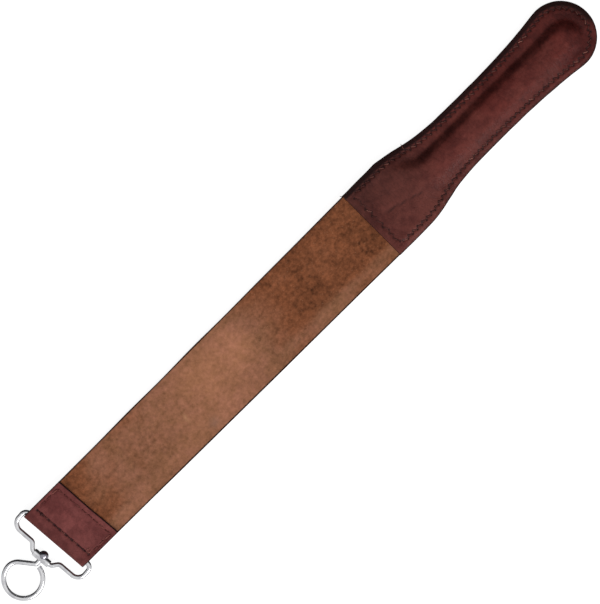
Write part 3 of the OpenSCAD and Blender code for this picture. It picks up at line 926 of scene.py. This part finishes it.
def cover_skin(word, side, seed):
    """One leather cover of the handle, draped over the padding. side is 1 for the
    front and -1 for the back."""
    x, y = PLAN[:, 0], PLAN[:, 1]
    inset = from_outline(x, y)
    to_mouth = x - MOUTH_X
    height, slope_x, slope_y = spline(draped(seed), x, y)
    xm, ym = x / MM, y / MM

    creases = MM * np.maximum.reduce([
        depth * hill(to_line(xm, ym, start, end), width)
        for start, end, depth, width in (
            ((143, -1), (153, -3.2), 0.36, 1.5), ((153, -3.2), (169, -8), 0.34, 1.5),
            ((152.5, 5), (154, 17), 0.24, 1.4), ((139, 14), (150, 19), 0.20, 1.8),
            ((163, 3), (177, 11), 0.16, 1.5), ((214, -12), (226, -5), 0.16, 1.1),
            ((262, 4), (276, 9), 0.14, 1.3), ((232, -2), (241, 3), 0.14, 1.0),
        )
    ])
    free = smooth((inset - 5.5 * MM) / (3 * MM)) * smooth((to_mouth - 7 * MM) / (4 * MM))
    lumps = 0.16 * MM * noise(x, y, 13 * MM, seed + 1) + 0.08 * MM * noise(x, y, 5 * MM, seed + 2)
    height = height + (lumps - creases) * free

    edge_nodes = STITCHES[f"edge_seam_{word}_thread"]
    mouth_nodes = STITCHES[f"mouth_seam_{word}_thread"]
    line, hole = to_stitches(x, y, np.concatenate([edge_nodes, mouth_nodes]))
    seam_in = MOUTH_HALF - abs(edge_nodes.mean(1)[:, 1]).max()
    mouth_in = mouth_nodes[:, :, 0].mean() - MOUTH_X
    edge_row = hill(inset - seam_in, 0.8 * MM) * smooth((to_mouth - 2 * MM) / (2 * MM))
    mouth_row = hill(to_mouth - mouth_in, 0.8 * MM) * smooth((inset - 2 * MM) / (2 * MM))
    row = np.maximum(edge_row, mouth_row)
    sunk = 0.30 * MM * row + 0.14 * MM * hill(line, 0.6 * MM) + 0.40 * MM * hill(hole, 0.5 * MM)
    welt = 0.10 * MM * hill(inset - 2.2 * MM, 1.2 * MM) * (1 + 0.5 * noise(x, y, 4 * MM, seed + 3))
    skived = 1.0 * MM * smooth(1 - inset / (4.6 * MM)) * smooth((to_mouth + 1 * MM) / (6 * MM))
    rounded = edge_round(inset, 0.6 * MM) + skived
    rounded = np.maximum(rounded, edge_round(to_mouth, 0.5 * MM))

    length = np.sqrt(1 + slope_x**2 + slope_y**2)
    keep_plan = smooth((inset - 1 * MM) / (4 * MM)) * smooth(to_mouth / (4 * MM))
    out_x = x - slope_x / length * COVER_T * keep_plan
    out_y = y - slope_y / length * COVER_T * keep_plan
    out_z = height + COVER_T / length + welt - sunk - rounded
    out_z = np.minimum(out_z, MID_Z - 0.02 * MM if side < 0 else 1.0)
    rim = smooth(1 - inset / (2 * MM))
    kink = 0.45 * MM * hill(xm - 159, 4.5) * (y > 0)
    kink = kink + 0.12 * MM * noise(x + np.sign(y), y, 8 * MM, seed + 4)
    bulb = np.hypot(x - BULB_X, y)
    out_dir_x = np.where(x > BULB_X, (x - BULB_X) / np.maximum(bulb, MM), 0)
    out_dir_y = np.where(x > BULB_X, y / np.maximum(bulb, MM), np.sign(y))
    out_x, out_y = out_x + kink * rim * out_dir_x, out_y + kink * rim * out_dir_y
    tuck = 0.18 * MM * (inset < 0.05 * MM)
    in_x, in_y = x + (kink * rim - tuck) * out_dir_x, y + (kink * rim - tuck) * out_dir_y

    outer = np.stack([out_x, out_y, MID_Z + side * out_z], -1)
    inner = np.stack([in_x, in_y, MID_Z + side * (height + 0.02 * MM)], -1)
    faces = PLAN_FACES if side > 0 else flipped(PLAN_FACES)
    points, faces = shell(outer, inner, faces)

    # painted highlight: the crown of the ridge made lighter in tone and wear
    crown_highlight = smooth((height - 2.2 * MM) / (2 * MM)) * free
    # painted shade on the +y slope at the foot of the ridge
    foot_shade = (
        smooth(ym / 4) * smooth((height / MM - 0.15) / 0.7) * smooth((4.1 - height / MM) / 1.2)
        * smooth((xm - 163) / 24) * smooth((312 - xm) / 8)
    )
    # painted shade on the -y flank of the ridge
    flank_shade = smooth((-ym - 6.5) / 4) * smooth((xm - 172) / 14)
    tone = (
        0.86
        + 0.10 * crown_highlight * hill(xm - 215, 60)
        + 0.05 * noise(xm, ym, 19, seed + 5)
        + 0.04 * noise(xm, ym, 6, seed + 6)
        # painted shade: the tip darker toward +x and +y
        - 0.34 * smooth((xm - 298) / 20) * smooth((ym + 15) / 14)
        - 0.10 * flank_shade
        - 0.07 * smooth((xm - 226) / 26)
        - 0.06 * hill(xm - 163, 13)
        - 0.08 * smooth(1 - inset / (4 * MM))
        # painted shade: darker toward +y near the mouth, as on a pillowed slope
        - 0.009 * (ym + 5) * smooth((174 - xm) / 12)
        - 0.05 * smooth((6 - to_mouth / MM) / 1.5)
        - 0.14 * hill(np.hypot(xm - 141, ym - 16), 6)
        + 0.10 * hill(xm - 182, 9) * hill(ym + 5, 6)
        - 0.40 * foot_shade
    )
    flush = smooth((xm - 172) / 24) * (0.55 + 0.4 * noise(xm, ym, 24, seed + 8))
    flush = flush + 0.35 * smooth((xm - 222) / 25)
    # the crown term is a painted highlight
    wear = 0.2 + 0.35 * crown_highlight + 0.35 * hill(inset - 2.3 * MM, 1.0 * MM)
    wear = wear + 0.2 * noise(xm, ym, 8, seed + 7)
    # darker at seams: grime, with painted shade in stitch holes and creases
    seam = np.maximum.reduce([
        0.46 * row, 0.6 * hill(line, 0.8 * MM), 1.3 * hill(hole, 0.95 * MM), 1.9 * creases / MM * free
    ])
    dye = np.clip(1.3 - inset / (0.8 * MM), 0, 1)
    dye = np.maximum(dye, np.clip(0.9 - to_mouth / (0.6 * MM), 0, 1))
    # painted shade: a wide dark margin on the +y side, away from the light
    shaded_side = np.where(x > BULB_X, smooth((ym + 16) / 14), smooth(ym / 6))
    painted_side_shade = smooth((4.7 * MM - inset) / (1.7 * MM)) * shaded_side
    dye = np.maximum(dye, 0.7 * painted_side_shade)
    return new_piece(
        f"handle_{word}_cover_skin", points, faces, HANDLE_LEATHER, body="handle",
        slot="handle_leather", replaced=(f"handle_{word}_cover",),
        **both_sides(tone=tone, wear=wear, seam=seam, flush=flush),
        dye=np.concatenate([dye, 0.7 + 0 * dye]),
    )


front_piece = cover_skin("front", 1, 101)
back_piece = cover_skin("back", -1, 131)

# ---- padding


def core_pad():
    """Felt padding inside the handle, with the wedge that closes the gap behind the straps."""
    rows = np.linspace(core_low.x + 0.1 * MM, core_high.x + 1 * MM, 110)
    columns = 40
    wedge_end = WEDGE_X + 1 * MM
    reach = RIDGE_HALF + 1.2 * MM
    upper = []
    for x in rows:
        wide = float(smooth((wedge_end - x) / (5 * MM)))
        past = max((x - core_high.x + RIDGE_HALF) / reach, 0)
        ridge = reach * math.sqrt(max(1 - past**2, 0.01))
        full = float(half_width(x)) - 0.25 * MM
        low_y = -full * wide + (RIDGE_Y - ridge) * (1 - wide)
        high_y = full * wide + (RIDGE_Y + ridge) * (1 - wide)
        upper += [(x, y, padding(x, y)) for y in np.linspace(low_y, high_y, columns + 1)]
    upper = np.array(upper)
    grid = upper[:, 2].reshape(len(rows), columns + 1)
    upper[:, 2] = np.maximum(np.minimum(grid, blurred(grid, 1)).ravel() - 0.12 * MM, 0.02 * MM)
    lower = upper * (1, 1, -1)
    shift = np.array([0, 0, MID_Z])
    points, faces = shell(upper + shift, lower + shift, grid_faces(len(rows), columns + 1))
    from_edge = (half_width(points[:, 0]) - np.abs(points[:, 1])) / MM
    piece = new_piece(
        "handle_core_pad", points, faces, FELT, body="handle", slot="core", replaced=("handle_core",),
        dye=np.clip(1.2 - from_edge / 1.2, 0, 1),
    )
    return piece


core_pad()

# ---- threads


def side_axes(path, normal):
    """Two unit directions square to a path at each of its points."""
    heading = np.gradient(path, axis=0)
    heading /= np.linalg.norm(heading, axis=1)[:, None]
    across = np.cross(heading, normal) + 1e-9  # never zero, even where the path runs along normal
    across /= np.linalg.norm(across, axis=1)[:, None]
    return across, np.cross(across, heading)


def tube(path, radius, sides):
    """Points and faces of a closed tube along a path, narrower at its ends."""
    across, up = side_axes(path, (0.0, 0.0, 1.0))
    turns = (np.arange(sides) / sides * 2 * math.pi)[None, :, None]
    count = len(path)
    from_end = np.minimum(np.arange(count), np.arange(count)[::-1])
    taper = np.minimum(1, 0.55 + from_end * 0.45)[:, None, None]
    rings = path[:, None] + radius * taper * (
        np.cos(turns) * across[:, None] + np.sin(turns) * up[:, None]
    )
    return rings.reshape(-1, 3), flipped(tube_faces(count, sides))


def cord(path, normal, thick, turns, phase=0.0):
    """Two plies twisted round a path."""
    across, up = side_axes(path, normal)
    t = np.linspace(0, 1, len(path))[:, None]
    plies = []
    for ply in (0, math.pi):
        angle = phase + ply + turns * 2 * math.pi * t
        centre = path + thick * 0.22 * (np.cos(angle) * across + np.sin(angle) * up)
        plies.append(tube(centre, thick * 0.29, 7))
    return plies


def joined(parts, tones):
    """One mesh from several, with a tone for each."""
    points, faces, values, base = [], [], [], 0
    for (part_points, part_faces), tone in zip(parts, tones):
        points.append(part_points)
        faces += [tuple(i + base for i in f) for f in part_faces]
        values.append(np.full(len(part_points), tone))
        base += len(part_points)
    return np.vstack(points), faces, np.concatenate(values)


def seam_thread(node, piece, side, body, material, seed, extras=()):
    """The stitches of one seam on one face, each a twisted cord that dips into its two holes."""
    tree = mesh_tree(piece.data)
    random = np.random.default_rng(seed)
    normal = np.array([0, 0, side], float)
    parts, tones = [], []
    for a, b in STITCHES[node]:
        middle, reach = (a + b) / 2, np.linalg.norm(b - a) / 2
        along = turned((b - a) / np.linalg.norm(b - a), random.normal(0, 0.045))
        middle = middle + random.normal(0, 0.08 * MM, 2)
        t = np.linspace(-1, 1, 15)
        level = [face_z(tree, *(middle + along * reach * s), side > 0) for s in (-0.45, 0, 0.45)]
        if any(z is None for z in level):
            continue
        slope = (level[2] - level[0]) / 0.9
        dip = np.sin(np.clip((1 - np.abs(t)) / 0.34, 0, 1) * math.pi / 2)
        lift = -0.55 * MM + dip * random.uniform(0.70, 0.80) * MM
        path = np.column_stack([
            middle[0] + along[0] * reach * t,
            middle[1] + along[1] * reach * t,
            level[1] + slope * t + side * lift,
        ])
        path[:, 2] = np.maximum(path[:, 2], 0.46 * MM)  # the cord's half thickness off the table
        # how pale each stitch is: partly worn thread, partly painted glints
        tone = 0.25 + 0.75 * random.beta(1.1, 2.6)
        made = cord(path, normal, 0.88 * MM, 1.5, random.uniform(0, 6.28))
        parts += made
        tones += [tone] * len(made)
    for path, thick, tone in extras:
        made = cord(path, normal, thick, 3.0)
        parts += made
        tones += [tone] * len(made)
    points, faces, tone = joined(parts, tones)
    return new_piece(
        node.replace("_thread", "_stitches"), points, faces, material, body=body, slot="thread",
        replaced=(node,), tone=tone,
    )


def arc_path(points, count):
    """A smooth path through a few points."""
    points = np.asarray(points, float)
    t = np.linspace(0, len(points) - 1, count)
    raw = np.column_stack([np.interp(t, np.arange(len(points)), points[:, k]) for k in range(3)])
    for _ in range(3):
        raw[1:-1] = (raw[:-2] + 2 * raw[1:-1] + raw[2:]) / 4
    return raw


TAB_TREE = mesh_tree(tab_piece.data)


def on_tab(x, y, lift):
    """A point above the tab's upper face, with places in mm."""
    return (x * MM, y * MM, face_z(TAB_TREE, x * MM, y * MM) + lift * MM)


def tab_place(u, v):
    """Plan place in mm of a point of the tab, u from the fold and v across."""
    y = v * math.cos(SKEW)
    return tab_x(u * MM - FOLD_R, y * MM) / MM, y


def knot(u, v, size, seed):
    """Turns of thread drawn tight over each other on the tab."""
    random = np.random.default_rng(seed)
    x, y = tab_place(u, v)
    paths = []
    for k in range(3):
        angle = k * 1.05 + random.uniform(-0.2, 0.2)
        dx, dy = math.cos(angle) * size, math.sin(angle) * size
        ends = ((-1, -0.5), (-0.5, 0.45), (0.5, 0.5), (1, -0.5))
        paths.append(arc_path([on_tab(x + dx * r, y + dy * r, lift) for r, lift in ends], 13))
    return paths


def loop(u, v):
    """An open loop of loose thread that lies on the tab."""
    x, y = tab_place(u, v)
    angles = np.linspace(0.4, 5.6, 9)
    return arc_path([on_tab(x + 1.7 * math.cos(a), y + 1.3 * math.sin(a), 0.25) for a in angles], 22)


def tail(start, end):
    """A loose thread end that arches between two places in mm."""
    start, end = np.array(start) * MM, np.array(end) * MM
    return arc_path([start, (start + end) / 2 + (0, 0, 0.4 * MM), end], 12)


# Loose ends, knots and loops that show on the front: (path, thickness, tone)
tails = [
    (tail((174.2, -21.4, 8.0), (173.5, -24.9, 6.6)), 0.5 * MM, 0.8),
    (tail((180.2, 20.6, 7.4), (181.2, 24.3, 6.2)), 0.5 * MM, 0.7),
    (tail((130.6, 25.6, 8.4), (128.9, 28.0, 7.2)), 0.5 * MM, 0.3),
]
knots = [(path, 0.8 * MM, 0.15) for path in knot(9.7, 18.2, 1.4, 221)]
loops = [(loop(11.5, -20.4), 0.55 * MM, 1.0)]
for word, side, cover in (("front", 1, front_piece), ("back", -1, back_piece)):
    for seam, piece, body, material, seed, extras in (
        ("edge", cover, "handle", THREAD, 200, tails),
        ("mouth", cover, "handle", THREAD, 210, []),
        ("tunnel", tab_piece, "strap", TUNNEL_THREAD, 230, knots),
        ("tab", tab_piece, "strap", TAB_THREAD, 240, loops),
    ):
        seam_thread(
            f"{seam}_seam_{word}_thread", piece, side, body, material, seed + side,
            extras if side > 0 else [],
        )

# ---- wire and swivel

for node, finish in (("bail", NICKEL), ("ring_hook", NICKEL), ("swivel_ball", SHADED_BALL_NICKEL)):
    for holder in frame["nodes"][node].material_slots:
        holder.material = finish

# ---- floor and lights

FLOOR_HALF, FLOOR_Z = 3, -0.0003  # metres
corners = [(a * FLOOR_HALF, b * FLOOR_HALF, FLOOR_Z) for a, b in ((-1, -1), (1, -1), (1, 1), (-1, 1))]
floor_mesh = bpy.data.meshes.new("floor")
floor_mesh.from_pydata(corners, [], [(0, 1, 2, 3)])
floor_mesh.materials.append(floor_finish())
floor = bpy.data.objects.new("floor", floor_mesh)
scene.collection.objects.link(floor)
floor.visible_glossy = False  # so that the wire mirrors the studio and keeps its outline


def soft_light(name, direction, distance, size, power):
    """A rectangular light of so many watts, aimed at the strop's middle."""
    data = bpy.data.lights.new(name, "AREA")
    data.shape, data.size, data.size_y = "RECTANGLE", size[0], size[1]
    data.energy = power
    lamp = bpy.data.objects.new(name, data)
    aim = Vector(direction).normalized()
    lamp.location = Vector((0.06, 0, 0)) + aim * distance
    lamp.rotation_mode = "QUATERNION"
    lamp.rotation_quaternion = aim.to_track_quat("Z", "Y")
    scene.collection.objects.link(lamp)


soft_light("key", (-0.4, -1.2, 1.0), 1.8, (1.5, 0.6), 22)
soft_light("overhead", (0.0, -0.1, 1.0), 2.0, (1.2, 1.2), 1.0)

# The studio is pale, with one dark side for the wire to mirror
world = bpy.data.worlds.new("studio")
scene.world = world
world.use_nodes = True
sky = world.node_tree
background = sky.nodes["Background"]
direction = sky.nodes.new("ShaderNodeTexCoord")
toward_dark = sky.nodes.new("ShaderNodeVectorMath")
toward_dark.operation = "DOT_PRODUCT"
toward_dark.inputs[1].default_value = (0.66, 0.66, -0.35)
bands = sky.nodes.new("ShaderNodeValToRGB")
sky.links.new(direction.outputs["Generated"], toward_dark.inputs[0])
sky.links.new(toward_dark.outputs["Value"], bands.inputs["Fac"])
sky.links.new(bands.outputs["Color"], background.inputs["Color"])
for band, place, colour in zip(
    bands.color_ramp.elements, (0.0, 0.34), ((0.72, 0.72, 0.73, 1), (0.03, 0.03, 0.032, 1))
):
    band.position, band.color = place, colour
background.inputs["Strength"].default_value = 1.0
